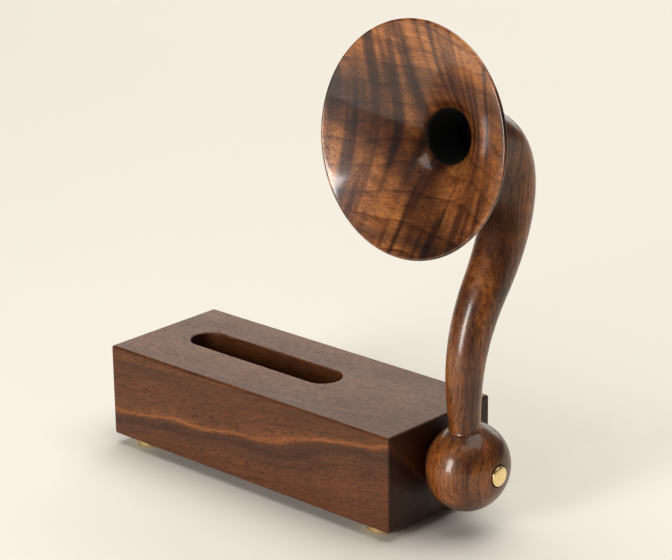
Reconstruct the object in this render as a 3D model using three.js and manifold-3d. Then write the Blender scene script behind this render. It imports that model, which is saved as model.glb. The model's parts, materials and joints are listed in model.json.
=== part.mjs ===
// Wooden phone amplifier with a swivelling horn.
//
// A phone stands in the slot of the base block. Its sound falls through the port in the slot's
// floor into a chamber milled from below, leaves through a brass sleeve in the right-hand end,
// turns upwards inside the ball and comes out of the horn's bell. The sleeve is also the bearing:
// the ball turns on it, held by one long bolt, so the horn tilts forwards and backwards.
//
// Millimetres, +Z up, the bell faces -Y (the front), the horn is at the +X end.

import * as THREE from 'three';
import { mergeVertices } from 'three/addons/utils/BufferGeometryUtils.js';
import Module from 'manifold-3d';

const wasm = await Module();
wasm.setup();

// ---------------------------------------------------------------- driving dimensions

// Base block
const base_length = 168;
const base_width = 65.5;
const base_height = 43;
const base_edge = 1.2;             // rounding of the block's edges

// Phone slot in the top, round at both ends
const slot_length = 88;
const slot_width = 17;
const slot_depth = 23;
const slot_from_left = 19.7;
const slot_from_front = 26.3;
const slot_edge = 0.6;             // eased lip of the slot
const port_length = 62;            // sound port through the slot's floor
const port_width = 7;
const slot_floor = 4;              // wood left under the slot

// Sound chamber, milled from below and closed by a panel let into a rebate
const chamber_from_left = 28;
const chamber_from_right = 28;
const chamber_side = 12;           // wood left in front of the chamber and behind it
const chamber_roof = 10;           // wood left above its tall end, beyond the slot
const chamber_corner = 6;
const slot_end_wall = 8;           // wood between the slot and the tall end
const panel_thickness = 4;
const panel_ledge = 5.5;           // how far the panel reaches past the chamber
const panel_gap = 0.3;

// Screws
const panel_screw_radius = 1.4;
const panel_screw_length = 12;
const panel_screw_head = 2.7;
const foot_screw_radius = 1.6;
const foot_screw_length = 16;
const foot_screw_head = 3.2;
const head_edge = 0.2;             // straight edge of a countersunk head
const screw_fit = 0.1;
const hole_past_tip = 1;           // how much deeper a pilot hole is than its screw

// Feet: turned brass discs with a pad let into the underside
const foot_radius = 7;
const foot_height = 4.2;
const foot_from_end = 13;
const foot_from_side = 11;
const foot_edge = 0.5;
const pad_radius = 5.2;
const pad_recess = 1.2;
const pad_proud = 0.6;
const pad_gap = 0.1;

// Pivot: brass sleeve pressed into the block, long bolt, washers
const pivot_height = 25;           // above the block's underside
const sleeve_radius = 6;
const sleeve_bore = 5;
const sleeve_grip = 16;            // length inside the block
const sleeve_reach = 9.5;          // length inside the ball
const spider_thickness = 3;
const spider_hub = 3.4;
const spider_arm = 1.6;
const bolt_radius = 2;
const bolt_end_chamfer = 0.4;
const bolt_head_radius = 4.45;
const bolt_head_edge = 2.4;        // straight height of the head
const bolt_head_crown = 0.9;       // rise of its domed face
const bolt_head_proud = 0.3;       // straight part standing out of the ball
const friction_washer_thickness = 0.8;
const spring_washer_height = 1.0;
const spring_washer_stock = 0.5;
const washer_gap = 0.1;
const running_gap = 0.2;
const press_gap = 0.05;

// Ball
const ball_radius = 19.2;
const ball_half_width = 17;        // along the pivot
const ball_from_end = 15.7;        // ball centre to the block's end face
const ball_cavity = 6;             // how far the sound bore passes the ball's centre
const glue_gap = 0.1;

// Horn neck, in the plane of the bend: [towards the back, upwards] from the ball's centre
const horn_lean = 7;               // degrees towards the front at rest
const neck_root_radius = 6.5;
const neck_seat_margin = 0.4;      // the ball's flat reaches this far past the neck's root
const neck_throat_radius = 11.4;
const neck_wall = 2.5;
const neck_bend = [20.2, 75.4];    // point where the S turns from one bend into the other
const neck_bend_lean = 41.5;       // degrees from upright there
const neck_root_pull = 23;         // how long the curve follows each end's direction
const neck_bend_pull_below = 23.2;
const neck_bend_pull_above = 35;
const neck_throat_pull = 34.5;
const tenon_wall = 1;              // wood between the tenon's outside and the sound bore
const tenon_length = 9;

// Bell
const bell_radius = 47.2;
const bell_depth = 35.4;           // rim to the joint with the neck
const bell_rim = [-18, 152.5];     // centre of the rim
const bell_tilt = 15.4;            // degrees upwards, in the horn's own frame
const bell_rim_radius = 0.9;       // half the rounded rim's thickness
const bell_wall = 2.4;
const bell_lip = 26;               // degrees between the flare at the rim and the rim's plane
const bell_lip_pull = 29;          // how long the flare follows that direction
const bell_throat_pull = 11.3;     // and the bore's direction at the throat
const bell_spigot = 5;

// ---------------------------------------------------------------- finishes

const finish = (color, roughness, metalness = 0) => ({ color, roughness, metalness });
const walnut = finish(0x6f452c, 0.45);
const walnut_light = finish(0x8a5733, 0.4);
const brass = finish(0xd9b366, 0.3, 1);
const steel = finish(0x9a9a98, 0.35, 1);
const rubber = finish(0x24211f, 0.9);
const fibre = finish(0x3a2a20, 0.85);

// ---------------------------------------------------------------- solids and booleans

const degrees = Math.PI / 180;
const overshoot = 1;               // how far a cutter passes the face it opens
const sliver = 1e-3;               // keeps round ends and thin cutters from closing up

// Facets: sides round a turned piece, and steps along a curve or a rounded edge.
const large_sides = 40;
const small_sides = 24;
const screw_sides = 12;
const bell_sides = 44;
const neck_sides = 24;
const neck_bore_sides = 16;
const neck_steps = 28;
const bell_steps = 11;
const rim_steps = 5;
const ball_steps = 18;
const crown_steps = 5;
const edge_steps = 3;
const lip_steps = 2;
const corner_steps = 4;
const slot_end_steps = 8;
const port_end_steps = 6;

function solid(geometry) {
  const bare = geometry.clone();
  bare.deleteAttribute('normal');
  bare.deleteAttribute('uv');
  const merged = mergeVertices(bare, 1e-4);
  return new wasm.Manifold(new wasm.Mesh({
    numProp: 3,
    vertProperties: new Float32Array(merged.attributes.position.array),
    triVerts: new Uint32Array(merged.index.array),
  }));
}

function geometryOf(manifold) {
  const mesh = manifold.getMesh();
  const geometry = new THREE.BufferGeometry();
  geometry.setAttribute('position', new THREE.BufferAttribute(new Float32Array(mesh.vertProperties), 3));
  geometry.setIndex(new THREE.BufferAttribute(new Uint32Array(mesh.triVerts), 1));
  const faceted = geometry.toNonIndexed();
  faceted.computeVertexNormals();
  return faceted;
}

function cut(body, ...cutters) {
  return cutters.reduce((left, cutter) => left.subtract(solid(cutter)), body);
}

function piece(name, shape, look) {
  const geometry = shape.isBufferGeometry ? shape : geometryOf(shape);
  const mesh = new THREE.Mesh(geometry, new THREE.MeshStandardMaterial(look));
  mesh.name = name;
  return mesh;
}

// A cylinder between two heights on +Z, or between two stations on +X.
function upright(radius, low, high, sides = large_sides) {
  return new THREE.CylinderGeometry(radius, radius, high - low, sides)
    .rotateX(Math.PI / 2)
    .translate(0, 0, (low + high) / 2);
}

function lying(radius, from, to, sides = large_sides) {
  return new THREE.CylinderGeometry(radius, radius, to - from, sides)
    .rotateZ(-Math.PI / 2)
    .translate((from + to) / 2, 0, 0);
}

// A turned piece: the profile's points are [radius, station along the axis].
function turned(profile, sides = large_sides) {
  return new THREE.LatheGeometry(profile.map(([r, h]) => new THREE.Vector2(r, h)), sides);
}

// A rectangle with round corners, centred on the origin; round ends when the corner is half its width.
function roundedRectangle(length, width, corner) {
  const x = length / 2;
  const y = width / 2;
  const r = Math.min(corner, x, y) - sliver;
  const shape = new THREE.Shape();
  shape.moveTo(-x + r, -y);
  shape.lineTo(x - r, -y);
  shape.absarc(x - r, -y + r, r, -Math.PI / 2, 0);
  shape.lineTo(x, y - r);
  shape.absarc(x - r, y - r, r, 0, Math.PI / 2);
  shape.lineTo(-x + r, y);
  shape.absarc(-x + r, y - r, r, Math.PI / 2, Math.PI);
  shape.lineTo(-x, -y + r);
  shape.absarc(-x + r, -y + r, r, Math.PI, Math.PI * 1.5);
  return shape;
}

function slab(length, width, corner, low, high, curveSegments = corner_steps) {
  return new THREE.ExtrudeGeometry(roundedRectangle(length, width, corner), {
    depth: high - low, bevelEnabled: false, curveSegments,
  }).translate(0, 0, low);
}

// ---------------------------------------------------------------- places shared by the pieces

const block_low = foot_height + pad_proud;
const block_high = block_low + base_height;
const end_face = base_length / 2;

const slot_x = -base_length / 2 + slot_from_left + slot_length / 2;
const slot_y = -base_width / 2 + slot_from_front + slot_width / 2;
const slot_low = block_high - slot_depth;

const chamber_left = -base_length / 2 + chamber_from_left;
const chamber_right = end_face - chamber_from_right;
const chamber_length = chamber_right - chamber_left;
const chamber_x = (chamber_left + chamber_right) / 2;
const chamber_width = base_width - 2 * chamber_side;
const chamber_low = block_low + panel_thickness;
const tall_left = slot_x + slot_length / 2 + slot_end_wall;

const panel_length = chamber_length + 2 * panel_ledge;
const panel_width = chamber_width + 2 * panel_ledge;

const pivot = new THREE.Vector3(end_face + ball_from_end, 0, block_low + pivot_height);
const seat_station = -ball_from_end + friction_washer_thickness + 2 * washer_gap;
const head_rim = ball_half_width * Math.sqrt(1 - (bolt_head_radius / ball_radius) ** 2);
const head_under = head_rim + bolt_head_proud - bolt_head_edge;
const head_pocket = head_under - spring_washer_height - washer_gap;

// One screw in each corner of the panel, drawn in by half the corner's rounding, and one in the
// middle of each long side.
const panel_screws = [];
for (const side of [-1, 1]) {
  for (const step of [-1, 0, 1]) {
    panel_screws.push([
      chamber_x + step * (chamber_length / 2 + panel_ledge / 2 - (step ? chamber_corner / 2 : 0)),
      side * (chamber_width / 2 + panel_ledge / 2),
    ]);
  }
}
const feet = [];
for (const side of [-1, 1]) {
  for (const end of [-1, 1]) {
    feet.push([end * (base_length / 2 - foot_from_end), side * (base_width / 2 - foot_from_side)]);
  }
}

// ---------------------------------------------------------------- base block

function baseBlock() {
  const outline = roundedRectangle(
    base_length - 2 * base_edge, base_width - 2 * base_edge, base_edge);
  const block = new THREE.ExtrudeGeometry(outline, {
    depth: base_height - 2 * base_edge,
    bevelThickness: base_edge,
    bevelSize: base_edge,
    bevelSegments: edge_steps,
    curveSegments: edge_steps,
  }).translate(0, 0, block_low + base_edge);

  const slot = slab(
    slot_length, slot_width, slot_width / 2, slot_low, block_high + overshoot, slot_end_steps,
  ).translate(slot_x, slot_y, 0);
  const lip = new THREE.ExtrudeGeometry(roundedRectangle(slot_length, slot_width, slot_width / 2), {
    depth: sliver,
    bevelThickness: slot_edge,
    bevelSize: slot_edge,
    bevelSegments: lip_steps,
    curveSegments: slot_end_steps,
  }).translate(slot_x, slot_y, block_high);
  const port = slab(
    port_length, port_width, port_width / 2, chamber_low, slot_low + overshoot, port_end_steps,
  ).translate(slot_x, slot_y, 0);

  const rebate = slab(panel_length, panel_width, chamber_corner, block_low - overshoot, chamber_low)
    .translate(chamber_x, 0, 0);
  const chamber = slab(
    chamber_length, chamber_width, chamber_corner, block_low, slot_low - slot_floor,
  ).translate(chamber_x, 0, 0);
  const tall = slab(
    chamber_right - tall_left, chamber_width, chamber_corner, block_low, block_high - chamber_roof,
  ).translate((chamber_right + tall_left) / 2, 0, 0);
  const duct = lying(sleeve_radius + press_gap, chamber_right - overshoot, end_face + overshoot, small_sides)
    .translate(0, 0, pivot.z);

  const panel_holes = panel_screws.map(([x, y]) => upright(
    panel_screw_radius + screw_fit, block_low, block_low + panel_screw_length + hole_past_tip,
    screw_sides,
  ).translate(x, y, 0));
  const foot_holes = feet.map(([x, y]) => upright(
    foot_screw_radius + screw_fit, block_low - overshoot, pad_proud + foot_screw_length + hole_past_tip,
    screw_sides,
  ).translate(x, y, 0));

  return cut(solid(block), slot, lip, port, rebate, chamber, tall, duct, ...panel_holes, ...foot_holes);
}

// ---------------------------------------------------------------- panel, screws and feet

// A countersunk screw, head down, its face at z = 0.
function countersunkScrew(radius, head, length) {
  const cone = head - radius;
  return turned([
    [0, 0], [head, 0], [head, head_edge], [radius, head_edge + cone], [radius, length - radius], [0, length],
  ], screw_sides).rotateX(Math.PI / 2);
}

function countersink(radius, head, depth) {
  const wide = head + screw_fit;
  const narrow = radius + screw_fit;
  return turned([
    [0, -overshoot], [wide, -overshoot], [wide, head_edge + screw_fit],
    [narrow, head_edge + screw_fit + wide - narrow], [narrow, depth], [0, depth],
  ], screw_sides).rotateX(Math.PI / 2);
}

function bottomPanel() {
  const low = block_low;
  const board = slab(
    panel_length - 2 * panel_gap, panel_width - 2 * panel_gap, chamber_corner - panel_gap,
    low, chamber_low - glue_gap,
  ).translate(chamber_x, 0, 0);
  const sinks = panel_screws.map(([x, y]) => countersink(
    panel_screw_radius, panel_screw_head, panel_thickness + overshoot,
  ).translate(x, y, low));
  return cut(solid(board), ...sinks);
}

function foot() {
  const body = turned([
    [0, pad_proud], [foot_radius - foot_edge, pad_proud], [foot_radius, pad_proud + foot_edge],
    [foot_radius, block_low - foot_edge - glue_gap], [foot_radius - foot_edge, block_low - glue_gap],
    [0, block_low - glue_gap],
  ], small_sides).rotateX(Math.PI / 2);
  const recess_top = pad_proud + pad_recess;
  const recess = upright(pad_radius + pad_gap, 0, recess_top, small_sides);
  const sink = countersink(foot_screw_radius, foot_screw_head, foot_height + overshoot)
    .translate(0, 0, recess_top);
  return cut(solid(body), recess, sink);
}

// ---------------------------------------------------------------- pivot hardware

// Tube with a three-armed spider at its inner end, whose hub takes the bolt's thread.
function pivotSleeve() {
  const from = -ball_from_end - sleeve_grip;
  const to = -ball_from_end + sleeve_reach;
  const tube = cut(
    solid(lying(sleeve_radius, from, to, small_sides)),
    lying(sleeve_bore, from - overshoot, to + overshoot, small_sides),
  );
  const arm_length = (sleeve_bore + sleeve_radius) / 2;
  let spider = solid(lying(spider_hub, from, from + spider_thickness, small_sides));
  for (let arm = 0; arm < 3; arm += 1) {
    const bar = new THREE.BoxGeometry(spider_thickness, spider_arm, arm_length)
      .translate(from + spider_thickness / 2, 0, arm_length / 2)
      .rotateX(arm * 120 * degrees);
    spider = spider.add(solid(bar));
  }
  return cut(
    tube.add(spider),
    lying(bolt_radius + press_gap, from - overshoot, from + spider_thickness + overshoot, small_sides),
  );
}

function pivotBolt() {
  const end = -ball_from_end - sleeve_grip;
  const top = head_under + bolt_head_edge;
  const crown = [];
  for (let step = 0; step < crown_steps; step += 1) {
    const angle = 90 * degrees * step / crown_steps;
    crown.push([bolt_head_radius * Math.cos(angle), top + bolt_head_crown * Math.sin(angle)]);
  }
  crown.push([0, top + bolt_head_crown]);
  return turned([
    [0, end], [bolt_radius - bolt_end_chamfer, end], [bolt_radius, end + bolt_end_chamfer],
    [bolt_radius, head_under], [bolt_head_radius, head_under], ...crown,
  ], small_sides).rotateZ(-Math.PI / 2);
}

function ring(inner, outer, low, high) {
  return turned([[inner, low], [outer, low], [outer, high], [inner, high], [inner, low]], small_sides)
    .rotateZ(-Math.PI / 2);
}

// Cone washer that pushes the head outwards.
function springWasher() {
  const low = head_under - spring_washer_height;
  const high = head_under - washer_gap;
  const inner = bolt_radius + running_gap;
  const outer = bolt_head_radius - running_gap;
  return turned([
    [inner, high - spring_washer_stock], [outer, low], [outer, low + spring_washer_stock],
    [inner, high], [inner, high - spring_washer_stock],
  ], small_sides).rotateZ(-Math.PI / 2);
}

// ---------------------------------------------------------------- horn

// Where the ball's top is spot-faced flat for the neck's shoulder.
const neck_seat_radius = neck_root_radius + neck_seat_margin;
const neck_seat = ball_radius * Math.sqrt(1 - (neck_seat_radius / ball_half_width) ** 2);
const sound_radius = neck_root_radius - neck_wall;
const tenon_radius = sound_radius + tenon_wall;

function ball() {
  const profile = [[0, seat_station]];
  const first = Math.acos(-seat_station / ball_half_width);
  for (let step = 0; step <= ball_steps; step += 1) {
    const angle = first + (Math.PI - first) * (step / ball_steps);
    const radius = step === ball_steps ? 0 : ball_radius * Math.sin(angle);
    profile.push([radius, -ball_half_width * Math.cos(angle)]);
  }
  const body = turned(profile).rotateZ(-Math.PI / 2);
  return cut(
    solid(body),
    lying(sleeve_radius + running_gap, -ball_half_width - overshoot, ball_cavity, small_sides),
    lying(bolt_radius + running_gap, 0, ball_half_width + overshoot, small_sides),
    lying(bolt_head_radius + 2 * running_gap, head_pocket, ball_half_width + overshoot, small_sides),
    upright(ball_radius, neck_seat, ball_radius + overshoot),
    upright(tenon_radius + glue_gap, neck_seat - tenon_length - glue_gap, ball_radius, small_sides),
    upright(sound_radius, 0, ball_radius, small_sides),
  );
}

// Centre line of the neck: upright out of the ball, back, and over into the bell.
const bell_axis = new THREE.Vector3(0, -Math.cos(bell_tilt * degrees), Math.sin(bell_tilt * degrees));
const rim_centre = new THREE.Vector3(0, ...bell_rim);
const throat = rim_centre.clone().addScaledVector(bell_axis, -bell_depth);

function neckCurve() {
  const up = new THREE.Vector3(0, 0, 1);
  const root = new THREE.Vector3(0, 0, neck_seat + glue_gap);
  const bend = new THREE.Vector3(0, ...neck_bend);
  const slope = new THREE.Vector3(0, Math.sin(neck_bend_lean * degrees), Math.cos(neck_bend_lean * degrees));
  const end = throat.clone();
  const curve = new THREE.CurvePath();
  curve.add(new THREE.CubicBezierCurve3(
    root, root.clone().addScaledVector(up, neck_root_pull),
    bend.clone().addScaledVector(slope, -neck_bend_pull_below), bend));
  curve.add(new THREE.CubicBezierCurve3(
    bend, bend.clone().addScaledVector(slope, neck_bend_pull_above),
    end.clone().addScaledVector(bell_axis, -neck_throat_pull), end));
  return curve;
}

// The neck thickens quickly above the ball and then more and more slowly towards the throat.
function neckRadius(along) {
  const left = 1 - THREE.MathUtils.clamp(along, 0, 1);
  return neck_throat_radius - (neck_throat_radius - neck_root_radius) * left ** 2;
}

// A round bar bent along the curve. past carries it straight on beyond both of the curve's ends.
function bentBar(curve, radiusAt, sides, steps, past) {
  const bar = new THREE.CylinderGeometry(1, 1, 1, sides, steps);
  const place = bar.attributes.position;
  const length = curve.getLength();
  const across = new THREE.Vector3(1, 0, 0);
  for (let i = 0; i < place.count; i += 1) {
    const along = (place.getY(i) + 0.5) * (1 + 2 * past / length) - past / length;
    const on = THREE.MathUtils.clamp(along, 0, 1);
    const tangent = curve.getTangentAt(on);
    const centre = curve.getPointAt(on).addScaledVector(tangent, (along - on) * length);
    const side = new THREE.Vector3().crossVectors(across, tangent);
    const radius = radiusAt(along);
    centre.addScaledVector(across, place.getX(i) * radius).addScaledVector(side, place.getZ(i) * radius);
    place.setXYZ(i, centre.x, centre.y, centre.z);
  }
  return bar;
}

const spigot_radius = neck_throat_radius - neck_wall / 2;

// The neck is carved in two mirrored halves, because no drill follows its bore.
function neck() {
  const curve = neckCurve();
  const bore = bentBar(
    curve, (along) => neckRadius(along) - neck_wall, neck_bore_sides, neck_steps,
    tenon_length + 2 * overshoot);
  const tenon = upright(tenon_radius, neck_seat - tenon_length, neck_seat + overshoot, small_sides);
  const socket = new THREE.CylinderGeometry(
    spigot_radius + glue_gap, spigot_radius + glue_gap, 2 * (bell_spigot + glue_gap), bell_sides,
  ).applyQuaternion(new THREE.Quaternion().setFromUnitVectors(new THREE.Vector3(0, 1, 0), bell_axis))
    .translate(throat.x, throat.y, throat.z);
  const whole = cut(
    solid(bentBar(curve, neckRadius, neck_sides, neck_steps, 0)).add(solid(tenon)), bore, socket);
  const size = 4 * bell_rim[1];
  return [1, -1].map((side) => cut(
    whole,
    new THREE.BoxGeometry(size, size, size).translate(side * (glue_gap - size) / 2, 0, 0),
  ));
}

// Bell profile: out along the back of the flare, round the rim, and down its inside to the bore.
function bell() {
  const bore = neck_throat_radius - neck_wall;
  const lip = new THREE.Vector2(Math.cos(bell_lip * degrees), Math.sin(bell_lip * degrees));
  const edge = new THREE.Vector2(bell_radius - bell_rim_radius * (1 + lip.y), 0);
  const inside = new THREE.CubicBezierCurve(
    new THREE.Vector2(bore, -bell_depth),
    new THREE.Vector2(bore, -bell_depth + bell_throat_pull),
    edge.clone().addScaledVector(lip, -bell_lip_pull),
    edge);
  const profile = [
    [bore, -bell_depth - bell_spigot],
    [spigot_radius, -bell_depth - bell_spigot],
    [spigot_radius, -bell_depth + glue_gap],
    [neck_throat_radius, -bell_depth + glue_gap],
  ];
  for (let step = 1; step <= bell_steps; step += 1) {
    const along = step / bell_steps;
    const point = inside.getPoint(along);
    const tangent = inside.getTangent(along);
    const wall = THREE.MathUtils.lerp(bell_wall, 2 * bell_rim_radius, along ** 2);
    profile.push([point.x + tangent.y * wall, point.y - tangent.x * wall]);
  }
  const [back_radius, back_station] = profile[profile.length - 1];
  const middle = new THREE.Vector2((back_radius + edge.x) / 2, (back_station + edge.y) / 2);
  const spoke = new THREE.Vector2(back_radius, back_station).sub(middle);
  for (let step = 1; step < rim_steps; step += 1) {
    const point = spoke.clone().rotateAround(new THREE.Vector2(), Math.PI * step / rim_steps).add(middle);
    profile.push([point.x, point.y]);
  }
  for (let step = bell_steps; step >= 0; step -= 1) {
    const point = inside.getPoint(step / bell_steps);
    profile.push([point.x, point.y]);
  }
  profile.push(profile[0]);
  return turned(profile, bell_sides);
}

// ---------------------------------------------------------------- assembly

const assembly = new THREE.Group();

const base = new THREE.Group();
base.add(piece('base_block', baseBlock(), walnut));
base.add(piece('bottom_panel', bottomPanel(), walnut));
panel_screws.forEach(([x, y], index) => {
  const screw = piece(
    `panel_screw_${index + 1}`,
    countersunkScrew(panel_screw_radius, panel_screw_head, panel_screw_length), brass);
  screw.position.set(x, y, block_low);
  base.add(screw);
});
feet.forEach(([x, y], index) => {
  const disc = piece(`foot_${index + 1}`, foot(), brass);
  disc.position.set(x, y, 0);
  const screw = piece(
    `foot_screw_${index + 1}`,
    countersunkScrew(foot_screw_radius, foot_screw_head, foot_screw_length - pad_recess), steel);
  screw.position.set(x, y, pad_proud + pad_recess);
  const pad = piece(`foot_pad_${index + 1}`, upright(
    pad_radius, 0, pad_proud + pad_recess - pad_gap, small_sides), rubber);
  pad.position.set(x, y, 0);
  base.add(disc, screw, pad);
});

const hardware = new THREE.Group();
hardware.position.copy(pivot);
hardware.add(piece('pivot_sleeve', pivotSleeve(), brass));
hardware.add(piece('pivot_bolt', pivotBolt(), brass));
hardware.add(piece('spring_washer', springWasher(), steel));
hardware.add(piece('friction_washer', ring(
  sleeve_radius + running_gap,
  ball_radius * Math.sqrt(1 - (seat_station / ball_half_width) ** 2) - running_gap,
  -ball_from_end + washer_gap, -ball_from_end + washer_gap + friction_washer_thickness,
), fibre));

const horn = new THREE.Group();
horn.position.copy(pivot);
horn.rotation.x = horn_lean * degrees;
horn.add(piece('horn_ball', ball(), walnut));
const [neck_right, neck_left] = neck();
horn.add(piece('neck_right', neck_right, walnut));
horn.add(piece('neck_left', neck_left, walnut));
const mouth = piece('horn_bell', bell(), walnut_light);
mouth.position.copy(rim_centre);
mouth.rotation.x = Math.PI - bell_tilt * degrees;
horn.add(mouth);

assembly.add(base, hardware, horn);

// The object stands on z = 0 with the origin under the middle of its bounding box.
const extent = new THREE.Box3().setFromObject(assembly, true);
assembly.position.set(-(extent.min.x + extent.max.x) / 2, -(extent.min.y + extent.max.y) / 2, -extent.min.z);

export default assembly;
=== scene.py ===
# %% [markdown]
# # A wooden phone amplifier with a tilting horn
#
# A walnut block holds a phone in its slot. The sound drops into a chamber under the slot, leaves
# through a brass sleeve in the block's end, turns upwards inside a wooden ball and comes out of a
# carved horn. The ball turns on the sleeve, so the horn tilts forwards and backwards.
#
# This file makes the object's looks. Its frame, sizes and joint come ready made, and every piece
# here is built round them, in metres, with +Z up and the bell facing -Y.

# %% Load the frame
import json
import math

import bmesh
import bpy
from mathutils import Matrix, Vector, geometry


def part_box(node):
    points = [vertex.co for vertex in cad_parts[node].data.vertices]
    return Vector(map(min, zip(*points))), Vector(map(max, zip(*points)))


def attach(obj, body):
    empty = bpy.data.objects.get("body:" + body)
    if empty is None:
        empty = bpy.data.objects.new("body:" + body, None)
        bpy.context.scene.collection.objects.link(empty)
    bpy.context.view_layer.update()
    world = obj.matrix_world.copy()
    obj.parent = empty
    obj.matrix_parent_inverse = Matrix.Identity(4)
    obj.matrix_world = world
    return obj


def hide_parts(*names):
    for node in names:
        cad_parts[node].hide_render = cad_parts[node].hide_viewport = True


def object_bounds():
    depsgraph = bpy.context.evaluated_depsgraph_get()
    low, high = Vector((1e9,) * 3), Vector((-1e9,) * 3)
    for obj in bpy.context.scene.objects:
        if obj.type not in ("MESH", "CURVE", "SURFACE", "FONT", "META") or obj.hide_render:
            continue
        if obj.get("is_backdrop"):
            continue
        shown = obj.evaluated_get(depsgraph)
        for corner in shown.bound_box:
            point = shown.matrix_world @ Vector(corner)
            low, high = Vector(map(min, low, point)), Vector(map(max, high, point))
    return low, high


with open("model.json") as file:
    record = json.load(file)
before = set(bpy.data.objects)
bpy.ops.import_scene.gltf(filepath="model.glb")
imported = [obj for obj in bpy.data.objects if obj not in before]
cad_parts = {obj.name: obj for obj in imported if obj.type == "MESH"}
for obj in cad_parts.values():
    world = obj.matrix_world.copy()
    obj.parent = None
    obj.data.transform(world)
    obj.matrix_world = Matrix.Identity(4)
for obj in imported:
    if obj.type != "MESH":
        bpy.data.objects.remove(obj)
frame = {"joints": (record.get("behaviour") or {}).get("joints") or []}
frame_low, frame_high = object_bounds()
mm = 0.001

# %% [markdown]
# ## Camera
#
# A product camera stands a little above the object and looks at it with a long lens, so that the
# block's edges hardly converge. A turn, a rise and a slight roll say where it stands, which is
# easier to read and to change than a matrix.

# %% Camera
camera_aim = Vector((1.9, -4.7, 99.2)) * mm
camera_distance = 1043.8 * mm
camera_turn = math.radians(42.95)
camera_rise = math.radians(19.125)
camera_roll = math.radians(-0.785)
camera_lens = 132.0


def looking_from(turn, rise, roll, aim, distance):
    """The place of something that looks at aim along its own -Z."""
    back = Vector((math.sin(turn) * math.cos(rise), -math.cos(turn) * math.cos(rise), math.sin(rise)))
    across = Vector((math.cos(turn), math.sin(turn), 0))
    turned = Matrix((across, back.cross(across), back)).transposed().to_4x4()
    return Matrix.Translation(aim + back * distance) @ turned @ Matrix.Rotation(roll, 4, "Z")


camera_data = bpy.data.cameras.new("camera")
camera_data.lens = camera_lens
camera_data.sensor_width = 36
camera_data.clip_end = 20
camera = bpy.data.objects.new("camera", camera_data)
camera.matrix_world = looking_from(camera_turn, camera_rise, camera_roll, camera_aim, camera_distance)
bpy.context.scene.collection.objects.link(camera)
bpy.context.scene.camera = camera
print("camera at", [round(x, 3) for x in camera.matrix_world.translation])

# %% [markdown]
# ## Light
#
# Three lights are enough for a small product. A key light from the front gives the wood its shine,
# a wide light overhead fills the table, and a broad one behind stands in for the studio's back
# wall. A dim world keeps the shadows open. The sides stay dark, because polished wood looks flat
# when it reflects white on every side.

# %% Light
scene = bpy.context.scene
scene.view_settings.view_transform = "Standard"
scene.view_settings.gamma = 0.84

world = bpy.data.worlds.new("studio")
world.use_nodes = True
world.node_tree.nodes["Background"].inputs["Color"].default_value = (1.0, 0.96, 0.9, 1)
world.node_tree.nodes["Background"].inputs["Strength"].default_value = 0.1
scene.world = world


def soft_light(name, turn, rise, distance, width, height, radiance, color):
    """A rectangular light that faces the object. Its power follows from how bright it looks."""
    data = bpy.data.lights.new(name, "AREA")
    data.shape = "RECTANGLE"
    data.size, data.size_y = width, height
    data.energy = radiance * math.pi * width * height
    data.color = color
    light = bpy.data.objects.new(name, data)
    light.matrix_world = looking_from(math.radians(turn), math.radians(rise), 0, camera_aim, distance)
    scene.collection.objects.link(light)
    return light


soft_light("key", -2, 13, 1.6, 0.46, 0.8, 17, (1.0, 0.98, 0.955))
soft_light("sky", 150, 80, 2.2, 2.8, 2.4, 2.5, (1.0, 0.975, 0.925))
soft_light("back_wall", 218, 16, 2.5, 3.8, 1.2, 2.0, (1.0, 0.97, 0.91))

# %% [markdown]
# ## Shaders made of small parts
#
# A material is easier to follow when each of its nodes is one line of Python. `add` makes a node,
# sets it, and links whatever it is given.


# %% Node helpers
def add(tree, kind, inputs=None, **settings):
    node = tree.nodes.new(kind)
    for name, value in settings.items():
        setattr(node, name, value)
    for socket, value in (inputs or {}).items():
        if isinstance(value, bpy.types.NodeSocket):
            tree.links.new(value, node.inputs[socket])
        else:
            node.inputs[socket].default_value = value
    return node


def math_node(tree, operation, first, second=0.0):
    return add(tree, "ShaderNodeMath", {0: first, 1: second}, operation=operation).outputs[0]


def vector_node(tree, operation, first, second):
    return add(tree, "ShaderNodeVectorMath", {0: first, 1: second}, operation=operation).outputs[0]


def scaled(tree, vector, scale):
    return vector_node(tree, "MULTIPLY", vector, scale)


def length_of(tree, vector):
    return add(tree, "ShaderNodeVectorMath", {0: vector}, operation="LENGTH").outputs["Value"]


def dot(tree, first, second):
    return add(tree, "ShaderNodeVectorMath", {0: first, 1: second}, operation="DOT_PRODUCT").outputs["Value"]


def part_of(tree, vector, axis):
    return add(tree, "ShaderNodeSeparateXYZ", {0: vector}).outputs[axis]


def one_minus(tree, value):
    return math_node(tree, "SUBTRACT", 1.0, value)


def noise(tree, vector, detail=2.0, roughness=0.5):
    inputs = {"Vector": vector, "Scale": 1.0, "Detail": detail, "Roughness": roughness}
    return add(tree, "ShaderNodeTexNoise", inputs).outputs


def smooth_between(tree, value, low, high):
    """0 below low, 1 above high, and a soft step between them."""
    inputs = {"Value": value, "From Min": low, "From Max": high}
    return add(tree, "ShaderNodeMapRange", inputs, interpolation_type="SMOOTHSTEP").outputs[0]


def tinted(tree, factor, color, with_color, blend="MIX"):
    inputs = {"Factor": factor, 6: color, 7: with_color}
    return add(tree, "ShaderNodeMix", inputs, data_type="RGBA", blend_type=blend).outputs[2]


def new_group(name, inputs, outputs):
    tree = bpy.data.node_groups.new(name, "ShaderNodeTree")
    for socket, kind in inputs:
        tree.interface.new_socket(socket, in_out="INPUT", socket_type="NodeSocket" + kind)
    for socket, kind in outputs:
        tree.interface.new_socket(socket, in_out="OUTPUT", socket_type="NodeSocket" + kind)
    return tree, add(tree, "NodeGroupInput").outputs, add(tree, "NodeGroupOutput").inputs


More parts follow.
